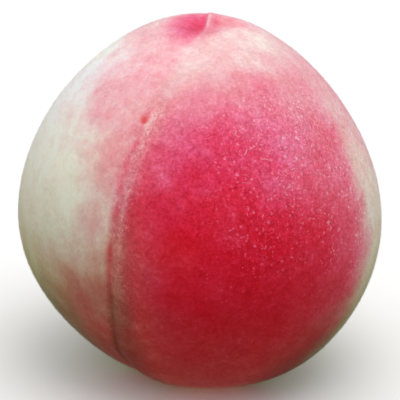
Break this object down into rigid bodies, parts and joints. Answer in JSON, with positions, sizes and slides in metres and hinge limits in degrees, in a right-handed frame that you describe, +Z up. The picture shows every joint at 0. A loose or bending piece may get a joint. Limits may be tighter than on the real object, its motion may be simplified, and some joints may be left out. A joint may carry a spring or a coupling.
{
  "type": "peach",
  "caption": "Whole peach with a pale cream ground and a crimson blush, standing on the shoulders round its stem cavity.",
  "frame": {"origin": "on the table, under the middle of the fruit's bounding box; the fruit stands stem end down", "axes": "+Z up, from the stem end to the tip; -Y faces the suture; +X towards the fuller cheek"},
  "size_m": [0.0752, 0.0748, 0.075],
  "materials": {
    "skin": "matte, velvety with fine fuzz; pale cream ground with a crimson blush"
  },
  "bodies": {
    "root": {"peach": "skin"}
  },
  "joints": []
}
